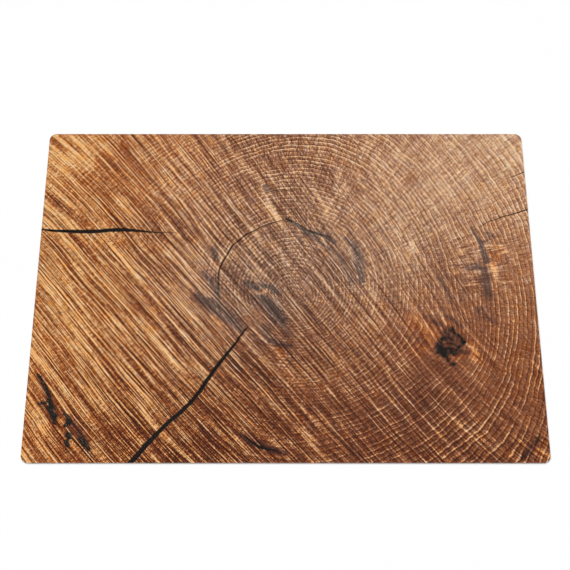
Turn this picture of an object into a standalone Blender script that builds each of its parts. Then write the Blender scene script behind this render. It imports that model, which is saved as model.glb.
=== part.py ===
# A flat rectangular chair mat, built up as the laminate that it is: five full-size sheets,
# from the grip foam that lies on the floor to the clear wear layer that the chair rolls on.
# Metres, +Z up. The origin is the centre of the underside, +X runs along the long side.

import math

import bmesh
import bpy

MAT_LENGTH = 1.200              # along X
MAT_DEPTH = 0.900               # along Y
CORNER_RADIUS = 0.018           # the die that cuts the sheet has round corners
BOND_GAP = 0.00005              # glue line between one sheet and the next
EDGE_EASE = 0.00015             # the die rounds the two outer rims a little
CORNER_STEPS = 12               # straight steps round each corner

# Bottom to top: node name, thickness, colour, roughness
LAYERS = (
    ("grip_backing", 0.00120, (0.78, 0.77, 0.75), 0.85),
    ("glass_fleece", 0.00025, (0.90, 0.90, 0.88), 0.90),
    ("foam_core", 0.00075, (0.84, 0.82, 0.79), 0.80),
    ("printed_film", 0.00015, (0.38, 0.19, 0.10), 0.55),
    ("wear_layer", 0.00045, (0.86, 0.84, 0.80), 0.30),
)
WEAR_LAYER_ALPHA = 0.25         # the clear sheet shows the print under it


def clear_scene():
    for old in list(bpy.data.objects):
        bpy.data.objects.remove(old, do_unlink=True)


def rounded_outline():
    """Corner points of the sheet, anticlockwise seen from above."""
    points = []
    for corner in range(4):
        side_x = 1 if corner in (0, 3) else -1
        side_y = 1 if corner in (0, 1) else -1
        centre_x = side_x * (MAT_LENGTH / 2 - CORNER_RADIUS)
        centre_y = side_y * (MAT_DEPTH / 2 - CORNER_RADIUS)
        for step in range(CORNER_STEPS + 1):
            angle = math.radians(90) * (corner + step / CORNER_STEPS)
            points.append((centre_x + CORNER_RADIUS * math.cos(angle),
                           centre_y + CORNER_RADIUS * math.sin(angle)))
    return points


def flat_material(name, colour, roughness, alpha=1.0):
    material = bpy.data.materials.new(name)
    material.use_nodes = True
    shader = material.node_tree.nodes["Principled BSDF"]
    shader.inputs["Base Color"].default_value = (*colour, 1.0)
    shader.inputs["Roughness"].default_value = roughness
    shader.inputs["Metallic"].default_value = 0.0
    shader.inputs["Alpha"].default_value = alpha
    return material


def ease_rim(mesh, height):
    """Round the outer rim that lies at this height."""
    rim = [edge for edge in mesh.edges
           if len(edge.link_faces) == 2
           and all(abs(vert.co.z - height) < BOND_GAP / 10 for vert in edge.verts)
           and edge.calc_face_angle() > math.radians(45)]
    bmesh.ops.bevel(mesh, geom=rim, offset=EDGE_EASE, segments=2, profile=0.5,
                    affect="EDGES", clamp_overlap=True)


def sheet(name, bottom, thickness, material, eased_height=None):
    """One full-size layer: the outline filled, then extruded up by its thickness."""
    mesh = bmesh.new()
    rim = [mesh.verts.new((x, y, bottom)) for x, y in rounded_outline()]
    floor_face = mesh.faces.new(rim)
    lifted = bmesh.ops.extrude_face_region(mesh, geom=[floor_face], use_keep_orig=True)
    raised = [item for item in lifted["geom"] if isinstance(item, bmesh.types.BMVert)]
    bmesh.ops.translate(mesh, verts=raised, vec=(0, 0, thickness))
    bmesh.ops.recalc_face_normals(mesh, faces=mesh.faces)
    if eased_height is not None:
        ease_rim(mesh, eased_height)
    data = bpy.data.meshes.new(name)
    mesh.to_mesh(data)
    mesh.free()
    data.materials.append(material)
    data.shade_smooth()
    data.set_sharp_from_angle(angle=math.radians(30))
    layer = bpy.data.objects.new(name, data)
    bpy.context.collection.objects.link(layer)
    return layer


def build_mat():
    bottom = 0.0
    for index, (name, thickness, colour, roughness) in enumerate(LAYERS):
        top = bottom + thickness
        eased_height = None
        if index == 0:
            eased_height = bottom
        if index == len(LAYERS) - 1:
            eased_height = top
        alpha = WEAR_LAYER_ALPHA if name == "wear_layer" else 1.0
        material = flat_material(name, colour, roughness, alpha)
        sheet(name, bottom, thickness, material, eased_height)
        bottom = top + BOND_GAP


clear_scene()
build_mat()
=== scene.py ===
# Chair mat: a foam-backed vinyl sheet with a picture of a sawn tree slice under a clear wear layer.
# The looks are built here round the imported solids. Metres, +Z up, front edge towards -Y.

import math

import bmesh
import bpy
import numpy as np
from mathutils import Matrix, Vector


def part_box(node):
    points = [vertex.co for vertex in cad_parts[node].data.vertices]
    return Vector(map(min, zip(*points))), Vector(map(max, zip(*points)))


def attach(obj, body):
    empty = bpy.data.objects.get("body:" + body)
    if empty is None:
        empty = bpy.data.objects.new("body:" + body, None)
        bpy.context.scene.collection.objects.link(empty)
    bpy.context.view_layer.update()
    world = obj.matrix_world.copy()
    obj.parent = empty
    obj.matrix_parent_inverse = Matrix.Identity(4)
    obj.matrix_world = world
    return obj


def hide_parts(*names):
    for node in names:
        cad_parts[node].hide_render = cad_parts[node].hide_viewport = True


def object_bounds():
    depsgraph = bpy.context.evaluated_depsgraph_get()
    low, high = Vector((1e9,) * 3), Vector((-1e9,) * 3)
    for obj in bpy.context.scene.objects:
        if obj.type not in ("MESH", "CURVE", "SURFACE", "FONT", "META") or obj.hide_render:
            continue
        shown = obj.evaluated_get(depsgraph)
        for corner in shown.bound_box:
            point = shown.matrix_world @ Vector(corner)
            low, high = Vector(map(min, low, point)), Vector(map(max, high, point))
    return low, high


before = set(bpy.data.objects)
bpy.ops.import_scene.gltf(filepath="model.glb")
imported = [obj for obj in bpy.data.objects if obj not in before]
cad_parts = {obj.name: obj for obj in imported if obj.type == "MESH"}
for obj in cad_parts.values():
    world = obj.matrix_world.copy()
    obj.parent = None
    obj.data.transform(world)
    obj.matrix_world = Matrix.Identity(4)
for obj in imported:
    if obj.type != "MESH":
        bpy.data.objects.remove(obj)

cadLow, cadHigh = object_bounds()


def mm(*values):
    # millimetres to metres, one value or several
    scaled = [value * 0.001 for value in values]
    return scaled[0] if len(scaled) == 1 else tuple(scaled)


# the outline that every sheet is die-cut to, taken from the solids
matOutline = {
    "length": cadHigh.x - cadLow.x,
    "depth": cadHigh.y - cadLow.y,
    "cornerRadius": mm(18),
    "cornerSteps": 12,
}


def outlinePoints(inset=0.0):
    # anticlockwise from above, drawn in from the die line by inset
    radius = matOutline["cornerRadius"] - inset
    steps = matOutline["cornerSteps"]
    points = []
    for corner in range(4):
        sideX = 1 if corner in (0, 3) else -1
        sideY = 1 if corner in (0, 1) else -1
        centreX = sideX * (matOutline["length"] / 2 - matOutline["cornerRadius"])
        centreY = sideY * (matOutline["depth"] / 2 - matOutline["cornerRadius"])
        for step in range(steps + 1):
            angle = math.radians(90) * (corner + step / steps)
            points.append((centreX + radius * math.cos(angle), centreY + radius * math.sin(angle)))
    return points


def newPiece(name, mesh, materials=()):
    for material in materials:
        mesh.materials.append(material)
    piece = bpy.data.objects.new(name, mesh)
    bpy.context.collection.objects.link(piece)
    return piece


def slabFromProfile(name, profile, materials, rimSlot=0):
    # profile is (inset, height) pairs up the cut edge; the two ends are closed flat
    builder = bmesh.new()
    loops = []
    for inset, height in profile:
        loops.append([builder.verts.new((x, y, height)) for x, y in outlinePoints(inset)])
    for lower, upper in zip(loops, loops[1:]):
        for index in range(len(lower)):
            following = (index + 1) % len(lower)
            face = builder.faces.new((lower[index], lower[following], upper[following], upper[index]))
            face.material_index = rimSlot
            face.smooth = True
    builder.faces.new(list(reversed(loops[0])))
    builder.faces.new(loops[-1])
    mesh = bpy.data.meshes.new(name)
    builder.to_mesh(mesh)
    builder.free()
    mesh.set_sharp_from_angle(angle=math.radians(40))
    return newPiece(name, mesh, materials)


class TreeBench:
    # one node tree, with short calls that hand back sockets
    def __init__(self, tree):
        self.tree = tree

    def put(self, socket, value):
        if isinstance(value, bpy.types.NodeSocket):
            self.tree.links.new(value, socket)
        elif isinstance(value, (tuple, list)) and len(value) == 3 and socket.type == "RGBA":
            socket.default_value = (*value, 1.0)
        else:
            socket.default_value = value

    def math(self, operation, first, second=0.0):
        node = self.tree.nodes.new("ShaderNodeMath")
        node.operation = operation
        self.put(node.inputs[0], first)
        self.put(node.inputs[1], second)
        return node.outputs[0]

    def add(self, *values):
        total = values[0]
        for value in values[1:]:
            total = self.math("ADD", total, value)
        return total

    def times(self, *values):
        total = values[0]
        for value in values[1:]:
            total = self.math("MULTIPLY", total, value)
        return total

    def minus(self, first, second):
        return self.math("SUBTRACT", first, second)

    def size(self, value):
        return self.math("ABSOLUTE", value)


class NodeBench(TreeBench):
    # one material's node tree
    def __init__(self, name):
        self.material = bpy.data.materials.new(name)
        self.material.use_nodes = True
        super().__init__(self.material.node_tree)
        self.shader = self.tree.nodes["Principled BSDF"]

    def step(self, value, low, high, outLow=0.0, outHigh=1.0, soft=True):
        node = self.tree.nodes.new("ShaderNodeMapRange")
        node.interpolation_type = "SMOOTHSTEP" if soft else "LINEAR"
        self.put(node.inputs["Value"], value)
        self.put(node.inputs["From Min"], low)
        self.put(node.inputs["From Max"], high)
        self.put(node.inputs["To Min"], outLow)
        self.put(node.inputs["To Max"], outHigh)
        return node.outputs["Result"]

    def join(self, x, y, z):
        node = self.tree.nodes.new("ShaderNodeCombineXYZ")
        for socket, value in zip(node.inputs, (x, y, z)):
            self.put(socket, value)
        return node.outputs[0]

    def split(self, vector):
        node = self.tree.nodes.new("ShaderNodeSeparateXYZ")
        self.put(node.inputs[0], vector)
        return node.outputs[0], node.outputs[1], node.outputs[2]

    def noise(self, vector, scale=1.0, detail=2.0, rough=0.5):
        node = self.tree.nodes.new("ShaderNodeTexNoise")
        self.put(node.inputs["Vector"], vector)
        self.put(node.inputs["Scale"], scale)
        self.put(node.inputs["Detail"], detail)
        self.put(node.inputs["Roughness"], rough)
        return node.outputs["Fac"]

    def field(self, name):
        node = self.tree.nodes.new("ShaderNodeAttribute")
        node.attribute_name = name
        return node.outputs["Vector"]

    def place(self):
        return self.tree.nodes.new("ShaderNodeTexCoord").outputs["Object"]

    def ramp(self, value, stops):
        node = self.tree.nodes.new("ShaderNodeValToRGB")
        elements = node.color_ramp.elements
        while len(elements) < len(stops):
            elements.new(0.5)
        for element, (position, colour) in zip(elements, stops):
            element.position = position
            element.color = (*colour, 1.0)
        self.put(node.inputs[0], value)
        return node.outputs["Color"]

    def blend(self, share, first, second, mode="MIX"):
        node = self.tree.nodes.new("ShaderNodeMix")
        node.data_type = "RGBA"
        node.blend_type = mode
        self.put(node.inputs["Factor"], share)
        self.put(node.inputs[6], first)
        self.put(node.inputs[7], second)
        return node.outputs[2]

    def bump(self, height, strength, distance):
        node = self.tree.nodes.new("ShaderNodeBump")
        self.put(node.inputs["Height"], height)
        node.inputs["Strength"].default_value = strength
        node.inputs["Distance"].default_value = distance
        return node.outputs["Normal"]

    def finish(self, **inputs):
        names = {"colour": "Base Color", "roughness": "Roughness", "specular": "Specular IOR Level",
                 "alpha": "Alpha", "normal": "Normal"}
        for key, value in inputs.items():
            self.put(self.shader.inputs[names[key]], value)
        return self.material


# the printed picture: where the grain runs, in millimetres from the mat's centre
printLayout = {
    "streakBends": 5,  # highest power in the map of the streaks, and in that of the rings
    "ringBends": 6,
    "evenSpacing": 0.35,  # pull towards even spacing, then towards few bends
    "fewBends": 0.02,
    "alongStreaks": (-0.63, 0.777),
    "markSpread": 0.6,
    "toneSpread": 70,
    "heart": (20, -25),
    "knot": (385, -140),
    "knotReach": 55,
    "knotRings": 3.2,
    "knotStreaks": mm(14),
    # how the long pale streaks run: x, y, degrees anticlockwise from the long side
    "streakRuns": [
        (-560, 420, 135), (-420, 380, 130), (-250, 340, 120), (-60, 320, 117), (120, 300, 117),
        (-560, 200, 134), (-400, 180, 134), (-260, 180, 128), (-120, 120, 122), (60, 100, 124),
        (-560, 20, 127), (-400, 0, 131), (-250, -20, 134), (-60, -20, 127), (120, 0, 120),
        (-560, -200, 127), (-400, -200, 130), (-220, -200, 133), (-40, -200, 133), (120, -180, 121),
        (-560, -400, 129), (-380, -400, 127), (-200, -400, 131), (0, -400, 138), (160, -380, 137),
        (300, -260, 122), (300, 150, 118), (420, -60, 124), (450, -320, 126), (560, -420, 138),
        (450, 330, 120), (560, 100, 112), (300, -420, 127),
    ],
    # how the growth rings run
    "ringRuns": [
        (-150, 400, 22), (-50, 350, 12), (50, 400, 2), (50, 280, 0), (150, 400, 152), (180, 260, 138),
        (-100, 190, 42), (-162, 20, 90), (-300, 0, 96), (-250, 300, 40), (250, 300, 127), (280, 200, 117),
        (350, 350, 124), (450, 300, 120), (550, 350, 116), (450, 200, 117), (550, 200, 108), (350, 100, 109),
        (250, 90, 98), (250, 0, 92), (420, 0, 95), (550, 50, 92), (560, -150, 86), (530, -300, 75),
        (570, -360, 70), (240, -200, 36), (330, -330, 38), (400, -400, 42), (450, -330, 50), (200, -330, 26),
        (100, -350, 18), (50, -240, 10), (-50, -320, 165), (-250, -200, 130), (-500, 0, 92), (-480, 260, 60),
        (-480, -250, 122), (-580, 420, 52), (-580, -420, 128), (-300, -420, 142), (-350, 420, 36),
        (300, -420, 35), (350, -370, 39), (430, -400, 44), (480, -290, 52), (270, -370, 32), (500, -430, 50),
        (400, -310, 42), (340, -430, 38),
    ],
}


def matGrid(cell):
    # columns and rows of grid lines; the corner squares get whole cells of their own
    def lines(half):
        radius = matOutline["cornerRadius"]
        inner = np.linspace(-half + radius, half - radius, max(2, round(2 * (half - radius) / cell) + 1))
        corner = np.linspace(0, radius, round(radius / cell) + 2)[1:]
        return np.concatenate([inner[0] - corner[::-1], inner, inner[-1] + corner])
    return lines(matOutline["length"] / 2), lines(matOutline["depth"] / 2)


def roundCorners(x, y):
    # squeeze each corner square of the grid into its quarter round
    radius = matOutline["cornerRadius"]
    overX = np.abs(x) - (matOutline["length"] / 2 - radius)
    overY = np.abs(y) - (matOutline["depth"] / 2 - radius)
    inCorner = (overX > 0) & (overY > 0)
    reach = np.where(inCorner, np.hypot(overX, overY), 1.0)
    squeeze = np.where(inCorner, np.maximum(overX, overY) / reach, 1.0)
    newX = np.where(inCorner, np.sign(x) * (np.abs(x) - overX + overX * squeeze), x)
    newY = np.where(inCorner, np.sign(y) * (np.abs(y) - overY + overY * squeeze), y)
    return newX, newY


def griddedSlab(name, bottom, top, cell, materials):
    # the top is a fine grid, which carries the picture's fields; walls and underside are plain
    columns, rows = matGrid(cell)
    gridX, gridY = roundCorners(*np.meshgrid(columns, rows))
    countX, countY = len(columns), len(rows)
    topPoints = np.stack([gridX.ravel(), gridY.ravel(), np.full(gridX.size, top)], 1)
    index = np.arange(gridX.size).reshape(countY, countX)
    quads = np.stack([index[:-1, :-1], index[:-1, 1:], index[1:, 1:], index[1:, :-1]], -1).reshape(-1, 4)
    rim = np.concatenate([index[0, :-1], index[:-1, -1], index[-1, :0:-1], index[:0:-1, 0]])
    lowPoints = topPoints[rim] * (1, 1, 0) + (0, 0, bottom)
    low = np.arange(len(rim)) + len(topPoints)
    nextRim, nextLow = np.roll(rim, -1), np.roll(low, -1)
    walls = np.stack([low, nextLow, nextRim, rim], 1)
    faces = [tuple(quad) for quad in np.concatenate([quads, walls]).tolist()]
    faces.append(tuple(low[::-1].tolist()))
    mesh = bpy.data.meshes.new(name)
    mesh.from_pydata(np.concatenate([topPoints, lowPoints]).tolist(), [], faces)
    mesh.update()
    piece = newPiece(name, mesh, materials)
    edge = np.zeros(len(faces), dtype=np.int32)
    edge[len(quads):] = len(materials) - 1
    mesh.polygons.foreach_set("material_index", edge)
    return piece


def powersOf(x, y, degree):
    # the terms x^i y^j up to a degree, without the constant
    pairs = [(i, total - i) for total in range(1, degree + 1) for i in range(total + 1)]
    return pairs, np.stack([x ** i * y ** j for i, j in pairs], -1)


def slopesOf(x, y, degree):
    # how those terms change along x and along y
    pairs, _ = powersOf(x, y, degree)
    alongX = [i * x ** max(i - 1, 0) * y ** j for i, j in pairs]
    alongY = [j * x ** i * y ** max(j - 1, 0) for i, j in pairs]
    return np.stack(alongX, -1), np.stack(alongY, -1)


def grainField(x, y, runs, degree, fromHeart=False):
    # a height map whose contour lines follow the given directions, about one metre per metre
    runX, runY, angle = np.array(runs, float).T
    runX, runY, angle = runX * 0.001, runY * 0.001, np.radians(angle)
    acrossX, acrossY = np.sin(angle), -np.cos(angle)
    slopeX, slopeY = slopesOf(runX, runY, degree)
    baseX = baseY = np.zeros(len(runX))
    base = 0.0
    if fromHeart:
        heartX, heartY = mm(*printLayout["heart"])
        reach = np.hypot(runX - heartX, runY - heartY)
        baseX, baseY = (runX - heartX) / reach, (runY - heartY) / reach
        outward = np.sign(acrossX * baseX + acrossY * baseY)
        acrossX, acrossY = acrossX * outward, acrossY * outward
        base = np.hypot(x - heartX, y - heartY)
    # along the grain the field stays level; across it the field climbs by its own distance
    level = -slopeX * acrossY[:, None] + slopeY * acrossX[:, None]
    climb = slopeX * acrossX[:, None] + slopeY * acrossY[:, None]
    levelWanted = baseX * acrossY - baseY * acrossX
    climbWanted = 1 - (baseX * acrossX + baseY * acrossY)
    calm = printLayout["fewBends"] * np.eye(slopeX.shape[1])
    even = printLayout["evenSpacing"]
    left = np.concatenate([level, climb * even, calm])
    right = np.concatenate([levelWanted, climbWanted * even, np.zeros(len(calm))])
    weights = np.linalg.lstsq(left, right, rcond=None)[0]
    return base + powersOf(x, y, degree)[1] @ weights


def storeField(mesh, name, *values):
    # three values for each point of the mesh, read by the material under this name
    layer = mesh.attributes.new(name, "FLOAT_VECTOR", "POINT")
    layer.data.foreach_set("vector", np.stack(values, 1).ravel().astype(np.float32))


# splits in the slice: x, y, width at each bend
crackLayout = {
    "leftCrack": [
        (-600, 166, 4.5), (-574, 163, 6.5), (-536, 161, 9), (-500, 160, 11), (-460, 160.5, 10.5),
        (-434, 164, 11), (-396, 165.5, 10.5), (-370, 163, 8), (-345, 160, 5.5), (-307, 157, 3.2),
        (-263, 158, 0.8)],
    "frontCrack": [
        (-352, -450, 12), (-337, -433, 12), (-319, -408, 12.5), (-300, -385, 11), (-268, -349, 10),
        (-243, -326, 10.5), (-222, -303, 9.5), (-200, -274, 9.5), (-185, -247, 10), (-169, -221, 9),
        (-154, -198, 9), (-139, -176, 8), (-120, -150, 6.5), (-105, -125, 5), (-95, -110, 3.5),
        (-86, -100, 1)],
    "backEdgeCrack": [(602, 336, 3), (578, 324, 2.4), (560, 317, 0.8)],
    "rightCrack": [(602, 225, 3.6), (570, 213, 3), (532, 201, 2.4), (500, 188, 2), (479, 174, 1)],
    "heartShake": [
        (-162, -28, 1), (-163, 22, 2), (-161, 50, 3), (-153, 75, 3.4), (-143, 92, 3), (-131, 119, 3.6),
        (-118, 130, 3), (-98, 151, 3.6), (-72, 166, 3.2), (-58, 176, 2.4), (-37, 184, 2.8), (4, 196, 2)],
    "shakeTail": [(4, 196, 2.4), (30, 182, 2), (56, 164, 2.4), (84, 152, 1.6), (104, 146, 1)],
    "frontSplit": [
        (-99, -378, 1), (-80, -396, 5), (-62, -410, 7), (-40, -417, 5), (-20, -420, 3.5), (-2, -430, 1)],
    "leftHairline": [(-562, -72, 1), (-536, -66, 1.2), (-511, -60, 0.8)],
    "backHairline": [(36, 447, 1.2), (31, 409, 1.5), (22, 384, 0.8)],
    "heartArc": [(-47, 274, 1.5), (-26, 280, 2), (-1, 282, 2), (17, 276, 1)],
}

# soft dark stains: a strength, then x, y, width at each bend
stainLayout = [
    (0.8, [(9, 193, 8), (52, 160, 14), (96, 148, 12), (119, 128, 12)]),
    (0.6, [(40, 160, 8), (90, 128, 10), (140, 80, 10)]),
    (0.65, [(148, 140, 14), (166, 122, 20), (176, 96, 26), (180, 60, 28), (182, 20, 20)]),
    (0.5, [(130, 90, 24), (150, 50, 24), (160, 10, 20)]),
    (1.0, [(456, 174, 5), (463, 156, 6), (474, 136, 8), (479, 118, 9), (483, 96, 12), (488, 76, 16)]),
    (0.7, [(440, 64, 4), (462, 69, 4), (492, 72, 6)]),
    (0.7, [(442, 56, 18), (460, 60, 20), (482, 52, 26), (484, 22, 30), (486, -16, 26)]),
    (0.7, [(479, 130, 4), (494, 134, 5)]),
    (0.6, [(498, 155, 20), (508, 146, 16)]),
    (0.95, [(-214, -20, 20), (-180, -42, 32), (-160, -56, 36), (-140, -76, 32), (-124, -92, 26),
            (-106, -110, 18)]),
    (0.7, [(-214, -6, 10), (-206, -20, 14)]),
    (0.75, [(-66, -22, 20), (-46, -36, 34), (-34, -52, 36), (-22, -70, 34), (-6, -92, 24)]),
    (0.8, [(-96, 16, 16), (-80, 5, 18), (-68, 0, 14)]),
    (0.8, [(-60, 10, 10), (-36, 5, 13), (-20, -12, 12)]),
    (0.95, [(-38, -138, 12), (-16, -149, 14), (12, -155, 11)]),
    (0.55, [(-50, -108, 26), (-45, -138, 24)]),
    (0.6, [(-6, -100, 14), (14, -126, 12)]),
    (0.7, [(-200, 46, 12), (-182, 24, 16), (-168, -10, 14)]),
    (0.7, [(-164, 30, 12), (-162, 0, 12), (-158, -34, 10)]),
    (0.9, [(-100, -380, 12), (-77, -396, 18), (-57, -408, 20), (-21, -418, 18), (2, -428, 11)]),
    (1.0, [(576, -388, 9), (556, -418, 14), (536, -440, 11)]),
    (0.7, [(-52, 292, 14), (-44, 280, 16)]),
    (0.75, [(-175, 110, 20), (-170, 88, 16)]),
    (0.4, [(-574, 250, 34), (-556, 225, 30)]),
    (0.5, [(372, 30, 12), (388, -10, 14), (398, -44, 12)]),
    (0.6, [(460, -55, 20), (480, -80, 16), (500, -95, 10)]),
    (0.7, [(350, -88, 14), (366, -98, 14)]),
    (0.8, [(380, -120, 26), (398, -140, 32)]),
    (0.6, [(376, -150, 22), (400, -168, 20)]),
    (0.5, [(322, -84, 8), (342, -74, 8), (362, -72, 8)]),
    (0.5, [(322, -136, 14), (330, -150, 12)]),
    (0.8, [(374, -134, 12), (358, -148, 14), (354, -162, 14)]),
    (0.8, [(402, -166, 14), (427, -173, 11)]),
    (0.7, [(384, -74, 10), (400, -86, 12), (416, -104, 10)]),
    (0.45, [(-566, -245, 18), (-548, -296, 24), (-534, -336, 26)]),
    (0.75, [(-500, -338, 18), (-478, -364, 24), (-460, -392, 18), (-446, -414, 10)]),
]

# burnt and broken bark, black and ragged
charLayout = [
    (1.0, [(-579, -226, 6), (-566, -244, 9), (-556, -262, 9), (-549, -280, 10), (-544, -296, 12),
           (-541, -312, 19), (-534, -332, 19), (-528, -352, 10)]),
    (0.9, [(-572, -304, 6), (-550, -301, 9)]),
    (1.0, [(-514, -324, 7), (-502, -336, 10), (-494, -350, 14), (-503, -357, 9)]),
    (0.6, [(-484, -352, 8), (-474, -376, 9), (-462, -392, 10)]),
    (1.0, [(-470, -388, 10), (-462, -399, 15), (-454, -406, 10), (-446, -418, 7)]),
    (1.2, [(-496, -380, 15), (-494, -385, 14)]),
    (1.2, [(-499, -400, 12), (-496, -408, 10)]),
    (0.8, [(382, -104, 8), (394, -111, 15), (402, -121, 10), (414, -131, 10), (420, -141, 12),
           (414, -152, 10), (404, -160, 9), (397, -168, 9)]),
    (1.5, [(363, -156, 12), (367, -167, 21), (373, -176, 17)]),
    (0.8, [(366, -137, 10), (380, -131, 9), (394, -137, 7)]),
    (0.7, [(371, -150, 6), (384, -147, 6), (399, -152, 7)]),
    (0.9, [(378, -161, 9), (392, -163, 9)]),
    (1.0, [(386, -171, 10), (397, -174, 12)]),
    (0.6, [(360, -148, 9), (370, -139, 10), (384, -142, 8)]),
    (0.9, [(377, -182, 10), (381, -192, 9)]),
    (0.9, [(386, -204, 7), (397, -201, 9)]),
]

# where the torn wood shows bars across the rings
barLayout = [
    (1.0, [(440, 105, 50), (470, 100, 40)]),
    (0.9, [(450, 60, 50), (462, 10, 50)]),
    (1.0, [(500, 108, 34), (526, 104, 34)]),
    (0.8, [(505, 66, 44), (520, 30, 44)]),
    (0.6, [(575, 100, 30), (560, 130, 30)]),
]

# warm orange patches of sound wood
glowLayout = [
    (0.9, [(490, 116, 8), (524, 116, 10), (530, 104, 12), (500, 98, 22), (518, 88, 18), (500, 60, 20),
           (504, 34, 16), (506, -6, 12)]),
    (1.0, [(298, -84, 34), (330, -110, 52), (340, -146, 56), (306, -170, 34)]),
    (0.7, [(440, -150, 30), (460, -200, 30)]),
    (1.0, [(396, -184, 14), (416, -182, 14)]),
    (0.9, [(376, -146, 12), (398, -148, 12)]),
    (0.8, [(-88, -4, 8), (-70, -15, 8), (-50, -8, 8)]),
    (0.9, [(-172, 72, 18), (-160, 56, 16)]),
    (0.8, [(-52, -400, 10), (-30, -430, 18)]),
    (0.9, [(-172, -80, 18), (-154, -94, 16)]),
    (0.6, [(-72, 233, 24), (-16, 195, 30)]),
    (0.7, [(-21, -160, 14), (-4, -178, 18)]),
    (0.7, [(570, -415, 20), (600, -443, 20)]),
    (0.8, [(-516, -345, 14), (-560, -365, 30)]),
    (0.35, [(-590, 0, 60), (-580, -150, 60), (-590, -330, 60), (-560, -420, 70)]),
]

# golden flashes where the wood catches the light
flashLayout = [
    (1.0, [(424, -146, 7), (438, -157, 11), (449, -174, 10)]),
    (1.0, [(436, -180, 10), (444, -190, 10)]),
    (0.7, [(326, -160, 6), (340, -174, 9), (360, -190, 8)]),
    (0.4, [(328, -92, 9), (336, -112, 12), (352, -124, 9)]),
    (0.3, [(338, -134, 8), (342, -152, 8)]),
    (0.5, [(300, -78, 14), (312, -86, 14)]),
    (0.3, [(352, -64, 4), (366, -76, 5), (384, -92, 4)]),
    (0.8, [(488, 120, 5), (530, 121, 5)]),
    (0.9, [(498, 68, 10), (506, 48, 12), (508, 30, 12)]),
    (0.8, [(-66, -15, 5), (-50, -10, 7)]),
    (0.9, [(-62, 287, 14), (-40, 240, 20), (-16, 197, 14)]),
    (0.7, [(147, 297, 7), (120, 250, 7), (88, 200, 7)]),
    (0.8, [(-578, -330, 16), (-562, -360, 26), (-552, -380, 18)]),
    (1.0, [(-514, -342, 9), (-508, -350, 9)]),
    (0.6, [(-508, -372, 14), (-480, -408, 12)]),
    (0.7, [(566, -412, 8), (584, -424, 10), (602, -434, 9)]),
    (0.6, [(404, -352, 8), (440, -384, 10), (488, -430, 9)]),
    (0.5, [(-590, 330, 60), (-500, 400, 60)]),
    (0.5, [(-480, -200, 26), (-450, -260, 30), (-420, -320, 24)]),
    (0.4, [(-550, -60, 50), (-480, -140, 50)]),
    (0.8, [(305, 128, 10), (312, 108, 12)]),
    (0.6, [(-166, 50, 4), (-157, 77, 5), (-134, 122, 5), (-100, 156, 5), (-74, 171, 5), (-38, 189, 4)]),
    (0.7, [(-44, -404, 6), (-22, -410, 6)]),
]

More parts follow.
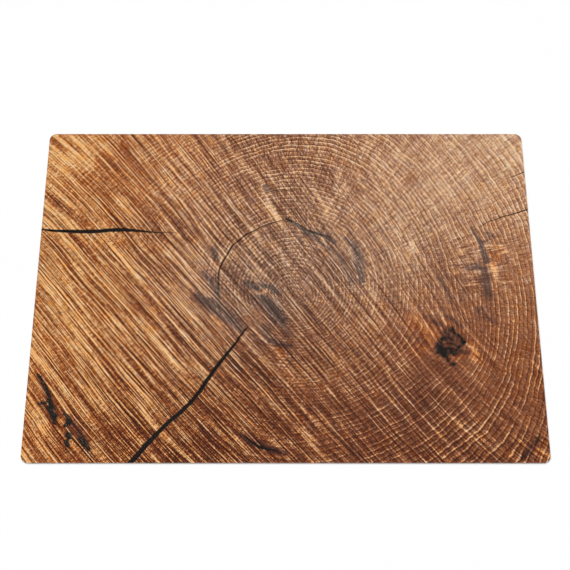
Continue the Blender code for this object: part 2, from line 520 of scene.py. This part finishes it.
# tone of the slice: x, y, lightness, haze (0 golden, 1 grey-tan; partly the print's own haze, partly painted
# sheen towards the back right), contrast, then how much shows of the streaks, the growth rings and the bold
# pale lines
toneSpots = [
    (-560, 400, 0.57, 0.00, 0.46, 0.9, 0.2, 0.2), (-440, 260, 0.46, 0.04, 0.50, 0.9, 0.3, 0.3),
    (-300, 370, 0.43, 0.22, 0.48, 0.8, 0.4, 0.3), (-180, 300, 0.39, 0.50, 0.50, 0.8, 0.4, 0.3),
    (-40, 390, 0.39, 0.55, 0.50, 0.5, 0.9, 0.1), (120, 390, 0.44, 0.60, 0.42, 0.4, 0.9, 0.0),
    (260, 360, 0.55, 0.75, 0.34, 0.4, 0.8, 0.2), (400, 330, 0.65, 0.85, 0.26, 0.4, 0.8, 0.3),
    (560, 400, 0.69, 0.85, 0.26, 0.4, 0.7, 0.3), (550, 250, 0.61, 0.75, 0.28, 0.35, 0.85, 0.2),
    (-560, 170, 0.47, 0.00, 0.66, 1.0, 0.1, 0.3), (-400, 120, 0.43, 0.03, 0.66, 1.0, 0.15, 0.3),
    (-260, 160, 0.40, 0.35, 0.60, 1.0, 0.2, 0.3), (-120, 200, 0.34, 0.65, 0.56, 0.8, 0.4, 0.3),
    (40, 230, 0.33, 0.80, 0.48, 0.8, 0.5, 0.2), (180, 210, 0.48, 0.75, 0.40, 0.5, 0.7, 0.2),
    (320, 160, 0.53, 0.85, 0.34, 0.5, 0.9, 0.2), (450, 120, 0.40, 0.70, 0.35, 0.5, 0.8, 0.2),
    (570, 90, 0.47, 0.50, 0.33, 0.2, 0.9, 0.0),
    (-570, -20, 0.50, 0.00, 0.66, 1.0, 0.0, 0.3), (-420, -30, 0.41, 0.00, 0.68, 1.0, 0.0, 0.3),
    (-280, 10, 0.35, 0.35, 0.64, 1.0, 0.1, 0.4), (-140, 40, 0.31, 0.85, 0.51, 0.9, 0.5, 0.3),
    (20, 70, 0.34, 0.90, 0.47, 0.75, 0.65, 0.3), (-40, -60, 0.25, 0.85, 0.51, 0.85, 0.6, 0.3),
    (130, 20, 0.35, 0.80, 0.47, 0.75, 0.6, 0.4), (270, 10, 0.38, 0.75, 0.46, 0.8, 0.5, 0.3),
    (400, -20, 0.36, 0.60, 0.46, 0.6, 0.7, 0.3), (560, -80, 0.38, 0.40, 0.37, 0.2, 0.85, 0.1),
    (-520, -170, 0.45, 0.00, 0.60, 1.0, 0.0, 0.5), (-360, -180, 0.39, 0.05, 0.65, 1.0, 0.0, 0.5),
    (-200, -170, 0.26, 0.30, 0.70, 1.0, 0.1, 0.5), (-40, -190, 0.20, 0.30, 0.66, 1.0, 0.3, 0.7),
    (100, -130, 0.26, 0.40, 0.58, 0.9, 0.5, 0.7), (250, -120, 0.28, 0.40, 0.52, 0.8, 0.6, 0.6),
    (420, -170, 0.25, 0.35, 0.48, 0.45, 0.5, 0.4), (360, -100, 0.27, 0.35, 0.42, 0.35, 0.2, 0.1),
    (560, -230, 0.34, 0.25, 0.42, 0.2, 1.0, 0.2), (500, -220, 0.28, 0.30, 0.44, 0.3, 0.9, 0.3),
    (-480, -330, 0.345, 0.00, 0.70, 0.9, 0.0, 0.8), (-340, -330, 0.275, 0.00, 0.78, 1.0, 0.0, 0.7),
    (-190, -320, 0.18, 0.05, 0.78, 1.0, 0.1, 0.7), (-40, -300, 0.20, 0.20, 0.62, 1.0, 0.4, 0.7),
    (120, -280, 0.20, 0.30, 0.60, 0.7, 0.5, 1.0), (290, -280, 0.165, 0.40, 0.55, 0.6, 0.7, 1.1),
    (440, -310, 0.20, 0.40, 0.55, 0.5, 0.8, 1.0), (570, -360, 0.26, 0.35, 0.47, 0.5, 0.9, 0.6),
    (-570, -430, 0.365, 0.00, 0.55, 0.9, 0.0, 0.7), (-400, -430, 0.23, 0.00, 0.75, 1.0, 0.0, 0.7),
    (-200, -430, 0.18, 0.05, 0.78, 1.0, 0.1, 0.5), (0, -420, 0.18, 0.15, 0.66, 1.0, 0.3, 0.7),
    (180, -420, 0.17, 0.25, 0.60, 0.7, 0.5, 1.0), (340, -420, 0.165, 0.25, 0.55, 0.6, 0.8, 1.1),
    (480, -430, 0.22, 0.25, 0.55, 0.6, 0.8, 1.0),
]


def alongLine(x, y, points):
    # nearest place on a bent line: true distance, signed offset to its left, and the width there
    line = np.array(points, float) * 0.001
    best = np.full(x.shape, 1e9)
    offset = np.zeros(x.shape)
    width = np.zeros(x.shape)
    for (x0, y0, width0), (x1, y1, width1) in zip(line, line[1:]):
        runX, runY = x1 - x0, y1 - y0
        length = math.hypot(runX, runY)
        share = np.clip(((x - x0) * runX + (y - y0) * runY) / length ** 2, 0, 1)
        gap = np.hypot(x - x0 - share * runX, y - y0 - share * runY)
        nearer = gap < best
        best = np.where(nearer, gap, best)
        offset = np.where(nearer, ((y - y0) * runX - (x - x0) * runY) / length, offset)
        width = np.where(nearer, width0 + share * (width1 - width0), width)
    return best, offset, width


def softMarks(x, y, layout):
    # strongest of the soft marks at each place, 0 to 1
    total = np.zeros(x.shape)
    for strength, points in layout:
        gap, _, width = alongLine(x, y, points)
        total = np.maximum(total, strength * np.exp(-(gap / (printLayout["markSpread"] * width)) ** 2))
    return total


def toneAt(x, y):
    # spreads the tone spots smoothly over the sheet, nearest spots counting most
    reach = mm(printLayout["toneSpread"])
    spots = np.array(toneSpots, float)
    weights = [np.exp(-((x - sx * 0.001) ** 2 + (y - sy * 0.001) ** 2) / (2 * reach ** 2)) + 1e-9
               for sx, sy in spots[:, :2]]
    weights = np.stack(weights, 1)
    weights /= weights.sum(1, keepdims=True)
    return weights @ spots[:, 2:]


# millimetres from the heart, and how far apart the rings stand there
ringSpacing = [(0, 7), (100, 8), (200, 9), (300, 10), (400, 11), (500, 11.5), (600, 13.5), (760, 16)]


def ringNumber(r):
    # how many growth rings lie between the heart and each place
    reach, gap = np.array(ringSpacing, float).T * 0.001
    steps = np.linspace(0, reach[-1], 2000)
    count = np.concatenate([[0], np.cumsum(np.diff(steps) / np.interp(steps[1:], reach, gap))])
    return np.interp(r, steps, count)


def knotBulge(x, y):
    # how far the knot pushes the grain aside, 0 to 1
    knotX, knotY = mm(*printLayout["knot"])
    return np.exp(-((x - knotX) ** 2 + (y - knotY) ** 2) / (2 * mm(printLayout["knotReach"]) ** 2))


# the streaks in layers, from broad bands down to fibres and short ticks across them:
# lines to the metre across the grain, the same along it, weight, seed
streakLayers = [
    (26, 2.2, 0.3, 0.0),
    (90, 2.4, 0.8, 3.1),
    (260, 4.0, 4.0, 7.7),
    (520, 8.0, 11.0, 1.3),
    (120, 300, 4.8, 4.6),
]


def streakNoise(bench, u, v, perMetre, alongGrain, seed, detail=1):
    # a pattern drawn out along the streaks
    return bench.noise(bench.join(bench.times(u, perMetre), bench.times(v, alongGrain), seed), 1, detail)


def ringNoise(bench, count, turn, perRing, around, detail=1):
    # a pattern that changes from ring to ring and on the way round the heart
    cosine, sine, _ = bench.split(turn)
    return bench.noise(bench.join(bench.times(count, perRing), bench.times(cosine, around),
                                  bench.times(sine, around)), 1, detail)


def grainWave(bench, u, v, place):
    # long streaks that follow u, which wanders a little as it goes
    drift = bench.minus(bench.noise(place, 5, 2), 0.5)
    shiver = bench.minus(bench.noise(place, 28, 2), 0.5)
    u = bench.add(u, bench.times(drift, 0.010), bench.times(shiver, 0.0022))
    wave = 0.0
    for perMetre, alongGrain, weight, seed in streakLayers:
        layer = streakNoise(bench, u, v, perMetre, alongGrain, seed)
        wave = bench.add(wave, bench.times(bench.minus(layer, 0.5), weight))
    return wave, u


def paleLines(bench, u, v, perMetre, sharpness, seed):
    # thin pale lines that run with the streaks and fade in and out
    lineNoise = streakNoise(bench, u, v, perMetre, 1.6, seed, 0)
    fade = streakNoise(bench, u, v, perMetre * 0.5, 3.6, seed + 3.3)
    ridge = bench.minus(1, bench.times(bench.size(bench.minus(lineNoise, 0.5)), sharpness))
    return bench.times(bench.step(ridge, 0, 0.9), bench.step(fade, 0.33, 0.49))


def bentCount(bench, count, place):
    # the ring count with the small wanderings that real rings have
    drift = bench.minus(bench.noise(place, 14, 3), 0.5)
    shiver = bench.minus(bench.noise(place, 60, 2), 0.5)
    return bench.add(count, bench.times(drift, 1.3), bench.times(shiver, 0.5))


def ringWave(bench, count, turn):
    # growth rings: a thin pale line beside a thin dark one, with its own strength each year
    part = bench.math("FRACT", count)
    strength = ringNoise(bench, count, turn, 0.8, 3)
    pale = bench.times(bench.step(bench.size(bench.minus(part, 0.5)), 0.20, 0.03),
                       bench.step(strength, 0.34, 0.60, 0.2, 1.6))
    dark = bench.step(bench.size(bench.minus(part, 0.80)), 0.18, 0.03)
    breaks = bench.step(ringNoise(bench, count, turn, 1.1, 22), 0.32, 0.50, 0.4, 1.0)
    wave = bench.add(bench.times(pale, breaks), bench.times(dark, -0.9), -0.05)
    patch = ringNoise(bench, count, turn, 0.3, 5, 2)
    return bench.times(wave, bench.step(patch, 0.30, 0.58, 0.5, 1.25))


def rayWave(bench, count, turn, barShow):
    # short fine dashes that stand across each ring, about 4 mm apart whatever the ring's size, and the
    # longer bars of torn wood
    dash = ringNoise(bench, count, turn, 0.7, bench.times(bench.math("FLOOR", count), 4.2))
    long = ringNoise(bench, count, turn, 0.12, 55)
    bars = ringNoise(bench, count, turn, 0.22, 105)
    barWave = bench.times(bench.minus(bench.step(bars, 0.38, 0.66), 0.48), barShow, 2.2)
    dashWave = bench.add(bench.times(bench.minus(dash, 0.5), 5.0), bench.times(bench.minus(long, 0.5), 2.2))
    return dashWave, barWave


# how a split is drawn round the line of its layout
splitDrawing = {
    "wanderPerMetre": 90,
    "wander": mm(3.0),
    "endRound": mm(4),
    "softEdge": mm(0.7),
    "black": (0.006, 0.003, 0.002),
}


def crackMask(bench, name, place):
    soft = splitDrawing["softEdge"]
    offset, reach, halfWidth = bench.split(bench.field(name))
    drift = bench.minus(bench.noise(place, splitDrawing["wanderPerMetre"], 4), 0.5)
    aside = bench.size(bench.add(offset, bench.times(drift, splitDrawing["wander"])))
    gap = bench.math("MAXIMUM", aside, bench.minus(reach, splitDrawing["endRound"]))
    return bench.step(gap, bench.add(halfWidth, soft), bench.minus(halfWidth, soft))


# how strongly each kind of line shows
lineStrength = {
    "finePale": 1.6,
    "boldPale": 1.8,
    "rings": 1.7,
    "grit": 4.6,
    "patches": 1.8,
}


def printPattern(bench, place, hazeAndSheen):
    # everything that is drawn in lines, as shares of the local contrast, and a fine shift of hue
    u, v, count = bench.split(bench.field("grainField"))
    turn = bench.field("turnField")
    streakShow, ringShow, boldShow = bench.split(bench.field("showField"))
    streaks, bentU = grainWave(bench, u, v, place)
    finePale = paleLines(bench, bentU, v, 150, 16, 5.5)
    boldPale = paleLines(bench, bentU, v, 60, 26, 2.2)
    count = bentCount(bench, count, place)
    rings = ringWave(bench, count, turn)
    barShow, _, _ = bench.split(bench.field("barField"))
    rays, bars = rayWave(bench, count, turn, barShow)
    calm = bench.minus(1, bench.times(barShow, 0.7))
    grit = bench.times(bench.minus(bench.noise(place, 360, 2), 0.5), lineStrength["grit"])
    hueShift = bench.minus(streakNoise(bench, bentU, v, 170, 30, 9.1, 2), 0.5)
    cloud = bench.minus(streakNoise(bench, bentU, v, 42, 16, 6.4, 3), 0.5)
    pattern = bench.add(bench.times(streaks, streakShow),
                        bench.times(finePale, streakShow, lineStrength["finePale"]),
                        bench.times(boldPale, boldShow, lineStrength["boldPale"]),
                        bench.times(rings, ringShow, calm, lineStrength["rings"]),
                        bench.times(rays, ringShow, bench.step(hazeAndSheen, 0.2, 0.9, 0.9, 1.9)),
                        bench.times(cloud, ringShow, lineStrength["patches"]), bars, grit, -0.25)
    return pattern, hueShift, cloud


def woodPrintMaterial():
    bench = NodeBench("wood_print")
    place = bench.place()
    lightness, hazeAndSheen, contrast = bench.split(bench.field("toneField"))
    stain, char, glow = bench.split(bench.field("markField"))
    pattern, hueShift, cloud = printPattern(bench, place, hazeAndSheen)
    _, _, flash = bench.split(bench.field("turnField"))

    # stains, burns and flashes act before the wood gets its colour, so the lines still run through them
    torn = bench.add(stain, bench.minus(bench.noise(place, 70, 4, 0.75), 0.5))
    speckle = bench.step(cloud, -0.22, 0.05, 0.6, 1.0)
    stained = bench.times(stain, speckle, bench.step(torn, 0.12, 0.72, 0.35, 1.1))
    contrast = bench.times(contrast, bench.step(stained, 0, 1.2, 1.0, 0.8))
    depth = bench.add(bench.times(stained, -1.25), bench.times(char, -0.9), bench.times(glow, 0.15),
                      bench.times(flash, 0.9))
    value = bench.times(lightness, bench.math("EXPONENT", bench.add(bench.times(pattern, contrast), depth)))

    golden = bench.ramp(value, [(0.0, (0.010, 0.002, 0.001)), (0.1, (0.10, 0.017, 0.003)),
                                (0.2, (0.20, 0.041, 0.006)), (0.3, (0.30, 0.073, 0.014)),
                                (0.45, (0.45, 0.135, 0.031)), (0.6, (0.60, 0.221, 0.062)),
                                (0.8, (0.80, 0.380, 0.128)), (1.0, (0.99, 0.595, 0.255))])
    hazyAndSheen = bench.ramp(value, [(0.0, (0.012, 0.006, 0.004)), (0.1, (0.10, 0.046, 0.029)),
                              (0.25, (0.25, 0.126, 0.080)), (0.45, (0.45, 0.243, 0.150)),
                              (0.6, (0.60, 0.348, 0.207)), (0.8, (0.80, 0.504, 0.308)),
                              (1.0, (0.95, 0.680, 0.440))])
    # the haze share blends in the grey-tan ramp: the print's own haze, and towards the back right a painted
    # sheen as well
    colour = bench.blend(bench.step(hazeAndSheen, 0, 1, soft=False), golden, hazyAndSheen)
    shift = bench.times(hueShift, bench.step(hazeAndSheen, 0, 1, 1.1, 0.6))
    hue = bench.join(1.0, bench.add(1.0, bench.times(shift, 0.9)), bench.add(1.0, bench.times(shift, 2.4)))
    colour = bench.blend(1.0, colour, hue, "MULTIPLY")

    glowShare = bench.times(bench.step(bench.add(glow, bench.times(cloud, 1.6)), 0.15, 1.0), 0.8)
    colour = bench.blend(glowShare, colour, bench.blend(1.0, colour, (1.08, 0.86, 0.60), "MULTIPLY"))
    grey = bench.blend(1.0, bench.join(value, value, value), (0.90, 0.76, 0.64), "MULTIPLY")
    colour = bench.blend(bench.times(stained, bench.step(hazeAndSheen, 0.25, 0.80, 0.15, 0.75)), colour, grey)

    ragged = bench.minus(bench.noise(place, 100, 4, 0.7), 0.5)
    charShare = bench.step(bench.add(char, bench.times(ragged, 1.9)), 0.42, 0.72)
    u, v, _ = bench.split(bench.field("grainField"))
    flecks = bench.step(streakNoise(bench, u, v, 330, 90, 2.7, 3), 0.52, 0.70)
    flecks = bench.times(flecks, bench.step(char, 1.3, 0.8))
    charColour = bench.blend(flecks, (0.010, 0.008, 0.006), (0.15, 0.105, 0.070))
    charShare = bench.times(charShare, bench.minus(1, bench.times(flecks, 0.35)))
    colour = bench.blend(charShare, colour, charColour)

    for name in crackLayout:
        colour = bench.blend(crackMask(bench, name, place), colour, splitDrawing["black"])

    return bench.finish(colour=colour, roughness=filmSheet["roughness"], specular=0.0)


filmSheet = {
    "cell": mm(3.5),
    "roughness": 0.45,
    "edgeWhite": (0.74, 0.71, 0.67),
    "edgeShade": (0.62, 0.59, 0.55),
}


def filmEdgeMaterial():
    # the film's own white vinyl, seen only at its cut edge
    bench = NodeBench("film_edge")
    speckle = bench.noise(bench.place(), 3000, 2)
    colour = bench.ramp(speckle, [(0.3, filmSheet["edgeShade"]), (0.7, filmSheet["edgeWhite"])])
    return bench.finish(colour=colour, roughness=0.5, specular=0.3)


def buildPrintedFilm():
    low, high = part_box("printed_film")
    film = griddedSlab("printed_film_sheet", low.z, high.z, filmSheet["cell"],
                       [woodPrintMaterial(), filmEdgeMaterial()])
    mesh = film.data
    places = np.zeros(len(mesh.vertices) * 3)
    mesh.vertices.foreach_get("co", places)
    x, y = places.reshape(-1, 3)[:, 0], places.reshape(-1, 3)[:, 1]
    across = grainField(x, y, printLayout["streakRuns"], printLayout["streakBends"])
    alongX, alongY = printLayout["alongStreaks"]
    along = alongY * y + alongX * x
    reach = grainField(x, y, printLayout["ringRuns"], printLayout["ringBends"], fromHeart=True)
    heartX, heartY = mm(*printLayout["heart"])
    angle = np.arctan2(y - heartY, x - heartX)
    tone = toneAt(x, y)
    bulge = knotBulge(x, y)
    count = ringNumber(reach) - bulge * printLayout["knotRings"]
    across = across + bulge * printLayout["knotStreaks"]
    bars = softMarks(x, y, barLayout)
    storeField(mesh, "grainField", across, along, count)
    storeField(mesh, "barField", bars, bars, bars)
    storeField(mesh, "turnField", np.cos(angle), np.sin(angle), softMarks(x, y, flashLayout))
    storeField(mesh, "toneField", *tone.T[:3])
    storeField(mesh, "showField", *tone.T[3:])
    marks = [softMarks(x, y, layout) for layout in (stainLayout, charLayout, glowLayout)]
    storeField(mesh, "markField", *marks)
    for name, points in crackLayout.items():
        gap, offset, width = alongLine(x, y, points)
        storeField(mesh, name, offset, gap, width / 2)
    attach(film, "root")
    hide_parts("printed_film")
    print("printed film laid with", len(mesh.polygons), "cells")


wearSheet = {
    "rimRound": mm(0.15),
    "rimSteps": 4,
    "clearness": 0.05,
    "rimMilk": 0.75,
    "embossPerMetre": 900,
}


def roundedEdge(height, radius, steps, upward=1):
    # quarter round up to a flat face, as (inset, height) pairs
    turns = [math.radians(90) * step / steps for step in range(steps + 1)]
    pairs = [(radius * (1 - math.cos(turn)), height - upward * radius * (1 - math.sin(turn)))
             for turn in turns]
    return pairs if upward > 0 else pairs[::-1]


def clearWearMaterial():
    bench = NodeBench("clear_wear")
    place = bench.place()
    emboss = bench.add(bench.noise(place, wearSheet["embossPerMetre"], 2),
                       bench.times(bench.noise(place, wearSheet["embossPerMetre"] / 4, 2), 0.5))
    scuffs = bench.noise(place, 30, 3)
    return bench.finish(colour=(0.02, 0.014, 0.010), alpha=wearSheet["clearness"], specular=0.5,
                        roughness=bench.step(scuffs, 0.3, 0.7, 0.30, 0.42),
                        normal=bench.bump(emboss, 0.4, mm(0.02)))


def milkyRimMaterial():
    bench = NodeBench("milky_rim")
    cloud = bench.noise(bench.place(), 1200, 2)
    colour = bench.ramp(cloud, [(0.3, (0.66, 0.56, 0.52)), (0.7, (0.80, 0.70, 0.66))])
    return bench.finish(colour=colour, alpha=wearSheet["rimMilk"], roughness=0.4, specular=0.4)


def buildWearLayer():
    low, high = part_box("wear_layer")
    profile = [(0, low.z)] + roundedEdge(high.z, wearSheet["rimRound"], wearSheet["rimSteps"])
    wear = slabFromProfile("clear_wear_sheet", profile, [clearWearMaterial(), milkyRimMaterial()], rimSlot=1)
    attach(wear, "root")
    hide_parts("wear_layer")
    print("wear layer laid")


coreSheet = {
    "poreSize": mm(0.25),
    "paleFoam": (0.84, 0.76, 0.73),
    "poreFoam": (0.60, 0.54, 0.52),
}


def coreFoamMaterial():
    bench = NodeBench("core_foam")
    pores = bench.noise(bench.place(), 1 / coreSheet["poreSize"], 2)
    colour = bench.ramp(pores, [(0.36, coreSheet["poreFoam"]), (0.50, coreSheet["paleFoam"])])
    return bench.finish(colour=colour, roughness=0.85, specular=0.2,
                        normal=bench.bump(pores, 0.6, mm(0.08)))


def buildFoamCore():
    low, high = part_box("foam_core")
    core = slabFromProfile("foam_core_sheet", [(0, low.z), (0, high.z)], [coreFoamMaterial()])
    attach(core, "root")
    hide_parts("foam_core")
    print("foam core laid")


fleeceSheet = {
    "strand": mm(0.4),
    "strandColour": (0.78, 0.77, 0.74),
    "gapColour": (0.50, 0.49, 0.46),
}


def glassFleeceMaterial():
    # chopped strands lying every way, so two stretched patterns crossed
    bench = NodeBench("glass_fleece")
    x, y, z = bench.split(bench.place())
    perMetre = 1 / fleeceSheet["strand"]
    lengthways = bench.noise(bench.join(bench.times(x, perMetre * 0.12), bench.times(y, perMetre),
                                        bench.times(z, perMetre)), 1, 2)
    crossways = bench.noise(bench.join(bench.times(x, perMetre), bench.times(y, perMetre * 0.12),
                                       bench.times(z, perMetre)), 1, 2)
    strands = bench.math("MAXIMUM", lengthways, crossways)
    colour = bench.ramp(strands, [(0.42, fleeceSheet["gapColour"]), (0.60, fleeceSheet["strandColour"])])
    return bench.finish(colour=colour, roughness=0.7, specular=0.3, normal=bench.bump(strands, 0.5, mm(0.05)))


def buildGlassFleece():
    low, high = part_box("glass_fleece")
    fleece = slabFromProfile("glass_fleece_sheet", [(0, low.z), (0, high.z)], [glassFleeceMaterial()])
    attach(fleece, "root")
    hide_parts("glass_fleece")
    print("glass fleece laid")


gripBacking = {
    "dotPitch": mm(17),
    "dotFoot": mm(3.2),
    "dotTip": mm(2.0),
    "dotHeight": mm(0.35),
    "dotSides": 12,
    "dotMargin": mm(9),
    "dotSink": mm(0.05),
    "rimRound": mm(0.15),
    "rimSteps": 4,
    "paleFoam": (0.60, 0.565, 0.55),
    "darkFoam": (0.46, 0.435, 0.425),
    "dotColour": (0.20, 0.20, 0.20),
}


def backingFoamMaterial():
    bench = NodeBench("backing_foam")
    place = bench.place()
    cells = bench.noise(place, 1400, 3)
    cloud = bench.noise(place, 22, 3)
    tone = bench.add(bench.times(cells, 0.7), bench.times(cloud, 0.3))
    colour = bench.ramp(tone, [(0.38, gripBacking["darkFoam"]), (0.60, gripBacking["paleFoam"])])
    return bench.finish(colour=colour, roughness=bench.step(cells, 0.3, 0.7, 0.80, 0.62), specular=0.25,
                        normal=bench.bump(cells, 0.5, mm(0.08)))


def dotSkinMaterial():
    # the dots are pressed smooth, so they are darker and a little shiny
    bench = NodeBench("dot_skin")
    wear = bench.noise(bench.place(), 300, 2)
    dark = tuple(channel * 0.8 for channel in gripBacking["dotColour"])
    colour = bench.ramp(wear, [(0.35, dark), (0.65, gripBacking["dotColour"])])
    return bench.finish(colour=colour, roughness=bench.step(wear, 0.3, 0.7, 0.40, 0.55), specular=0.4)


def gripDotTree():
    # staggered rows of low round dots inside the die line, pointing down
    tree = bpy.data.node_groups.new("grip_dots", "GeometryNodeTree")
    tree.interface.new_socket("Geometry", in_out="INPUT", socket_type="NodeSocketGeometry")
    for name in ("Length", "Depth", "Corner Radius", "Margin", "Pitch", "Dot Foot", "Dot Tip", "Dot Height",
                 "Foot Level"):
        tree.interface.new_socket(name, in_out="INPUT", socket_type="NodeSocketFloat")
    tree.interface.new_socket("Dot Sides", in_out="INPUT", socket_type="NodeSocketInt")
    tree.interface.new_socket("Skin", in_out="INPUT", socket_type="NodeSocketMaterial")
    tree.interface.new_socket("Geometry", in_out="OUTPUT", socket_type="NodeSocketGeometry")
    start = tree.nodes.new("NodeGroupInput").outputs
    end = tree.nodes.new("NodeGroupOutput")
    bench = TreeBench(tree)
    work, put = bench.math, bench.put

    rowPitch = work("MULTIPLY", start["Pitch"], math.sin(math.radians(60)))
    columns = work("CEIL", work("DIVIDE", start["Length"], start["Pitch"]))
    rows = work("CEIL", work("DIVIDE", start["Depth"], rowPitch))
    grid = tree.nodes.new("GeometryNodeMeshGrid")
    put(grid.inputs["Size X"], work("MULTIPLY", columns, start["Pitch"]))
    put(grid.inputs["Size Y"], work("MULTIPLY", rows, rowPitch))
    put(grid.inputs["Vertices X"], work("ADD", columns, 1))
    put(grid.inputs["Vertices Y"], work("ADD", rows, 1))

    # every other row steps aside by half a pitch
    position = tree.nodes.new("GeometryNodeInputPosition").outputs[0]
    split = tree.nodes.new("ShaderNodeSeparateXYZ")
    put(split.inputs[0], position)
    rowPlace = work("DIVIDE", split.outputs["Y"], rowPitch)
    rowNumber = work("ROUND", work("ADD", rowPlace, work("DIVIDE", rows, 2)))
    oddRow = work("SUBTRACT", work("MODULO", rowNumber, 2), 0.5)
    aside = work("MULTIPLY", oddRow, work("MULTIPLY", start["Pitch"], 0.5))
    offset = tree.nodes.new("ShaderNodeCombineXYZ")
    put(offset.inputs["X"], aside)
    put(offset.inputs["Z"], start["Foot Level"])
    staggered = tree.nodes.new("GeometryNodeSetPosition")
    put(staggered.inputs["Geometry"], grid.outputs["Mesh"])
    put(staggered.inputs["Offset"], offset.outputs[0])

    # dots past the rounded margin are dropped
    over = []
    for axis, side in (("X", "Length"), ("Y", "Depth")):
        inner = work("SUBTRACT", work("DIVIDE", start[side], 2), start["Margin"])
        half = work("SUBTRACT", inner, start["Corner Radius"])
        over.append(work("MAXIMUM", work("SUBTRACT", work("ABSOLUTE", split.outputs[axis]), half), 0))
    gap = work("SQRT", work("ADD", work("POWER", over[0], 2), work("POWER", over[1], 2)))
    drop = tree.nodes.new("GeometryNodeDeleteGeometry")
    put(drop.inputs["Geometry"], staggered.outputs["Geometry"])
    put(drop.inputs["Selection"], work("GREATER_THAN", gap, start["Corner Radius"]))

    dot = tree.nodes.new("GeometryNodeMeshCone")
    put(dot.inputs["Vertices"], start["Dot Sides"])
    put(dot.inputs["Radius Top"], start["Dot Tip"])
    put(dot.inputs["Radius Bottom"], start["Dot Foot"])
    put(dot.inputs["Depth"], start["Dot Height"])
    spread = tree.nodes.new("GeometryNodeInstanceOnPoints")
    put(spread.inputs["Points"], drop.outputs["Geometry"])
    put(spread.inputs["Instance"], dot.outputs["Mesh"])
    put(spread.inputs["Rotation"], (math.pi, 0, 0))
    realised = tree.nodes.new("GeometryNodeRealizeInstances")
    put(realised.inputs["Geometry"], spread.outputs["Instances"])
    dressed = tree.nodes.new("GeometryNodeSetMaterial")
    put(dressed.inputs["Geometry"], realised.outputs["Geometry"])
    put(dressed.inputs["Material"], start["Skin"])
    put(end.inputs["Geometry"], dressed.outputs["Geometry"])
    return tree


def growDots(footLevel, skin):
    # the dots as a plain mesh
    carrier = bpy.data.objects.new("dot_carrier", bpy.data.meshes.new("dot_carrier"))
    bpy.context.collection.objects.link(carrier)
    modifier = carrier.modifiers.new("dots", "NODES")
    modifier.node_group = gripDotTree()
    sizes = {
        "Length": matOutline["length"], "Depth": matOutline["depth"],
        "Corner Radius": matOutline["cornerRadius"], "Margin": gripBacking["dotMargin"],
        "Pitch": gripBacking["dotPitch"], "Dot Foot": gripBacking["dotFoot"],
        "Dot Tip": gripBacking["dotTip"], "Dot Height": footLevel, "Foot Level": footLevel,
        "Dot Sides": gripBacking["dotSides"], "Skin": skin,
    }
    for item in modifier.node_group.interface.items_tree:
        if item.in_out == "INPUT" and item.name in sizes:
            modifier[item.identifier] = sizes[item.name]
    bpy.context.view_layer.update()
    evaluated = carrier.evaluated_get(bpy.context.evaluated_depsgraph_get())
    mesh = bpy.data.meshes.new_from_object(evaluated)
    carrier.modifiers.remove(modifier)
    bpy.data.objects.remove(carrier)
    return mesh


def buildGripBacking():
    low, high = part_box("grip_backing")
    webLevel = low.z + gripBacking["dotHeight"] - gripBacking["dotSink"]
    foam = backingFoamMaterial()
    rim = roundedEdge(webLevel, gripBacking["rimRound"], gripBacking["rimSteps"], upward=-1)
    backing = slabFromProfile("grip_backing_sheet", rim + [(0, high.z)], [foam])
    dots = newPiece("grip_backing_dots", growDots(low.z + gripBacking["dotHeight"], dotSkinMaterial()))
    for piece in (backing, dots):
        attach(piece, "root")
        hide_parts("grip_backing")
    print("grip backing laid with", len(dots.data.polygons), "dot faces")


studio = {
    "floorSize": 30,
    "floorWhite": 0.975,
    "floorDrop": mm(0.1),
    "roomLight": 0.42,
    "skyLight": 2.15,
    "skyWidth": 55,
    "skyTilt": (-22, -18),
    "cameraPlace": (-0.0014, -1.7412, 3.1591),
    "cameraTilt": 29.02,
    "lens": 94.7,
}


def buildStage():
    bpy.ops.mesh.primitive_plane_add(size=studio["floorSize"], location=(0, 0, -studio["floorDrop"]))
    floor = bpy.context.object
    floor.name = "floor"
    bench = NodeBench("floor_white")
    white = (studio["floorWhite"],) * 3
    floor.data.materials.append(bench.finish(colour=white, roughness=0.9, specular=0.1))
    print("floor laid")


def buildRoom():
    # an even pale room: dimmer as a light than it looks, so the mat keeps its soft shadow
    room = bpy.data.worlds.new("soft_room")
    room.use_nodes = True
    tree = room.node_tree
    light = tree.nodes["Background"]
    light.inputs["Color"].default_value = (1, 1, 1, 1)
    light.inputs["Strength"].default_value = studio["roomLight"]
    seen = tree.nodes.new("ShaderNodeBackground")
    seen.inputs["Color"].default_value = (1, 1, 1, 1)
    path = tree.nodes.new("ShaderNodeLightPath")
    choice = tree.nodes.new("ShaderNodeMixShader")
    tree.links.new(path.outputs["Is Camera Ray"], choice.inputs[0])
    tree.links.new(light.outputs[0], choice.inputs[1])
    tree.links.new(seen.outputs[0], choice.inputs[2])
    tree.links.new(choice.outputs[0], tree.nodes["World Output"].inputs["Surface"])
    bpy.context.scene.world = room


def buildLightsAndCamera():
    buildRoom()
    softSky = bpy.data.objects.new("soft_sky", bpy.data.lights.new("soft_sky", "SUN"))
    bpy.context.collection.objects.link(softSky)
    softSky.data.energy = studio["skyLight"]
    softSky.data.angle = math.radians(studio["skyWidth"])
    tiltX, tiltY = studio["skyTilt"]
    softSky.rotation_euler = (math.radians(tiltX), math.radians(tiltY), 0)
    camera = bpy.data.objects.new("camera", bpy.data.cameras.new("camera"))
    bpy.context.collection.objects.link(camera)
    camera.data.lens = studio["lens"]
    camera.data.sensor_width = 36
    camera.location = studio["cameraPlace"]
    camera.rotation_euler = (math.radians(studio["cameraTilt"]), 0, 0)
    bpy.context.scene.camera = camera
    bpy.context.scene.view_settings.view_transform = "Standard"
    print("lights and camera set")


buildLightsAndCamera()
buildStage()
buildGripBacking()
buildGlassFleece()
buildFoamCore()
buildPrintedFilm()
buildWearLayer()
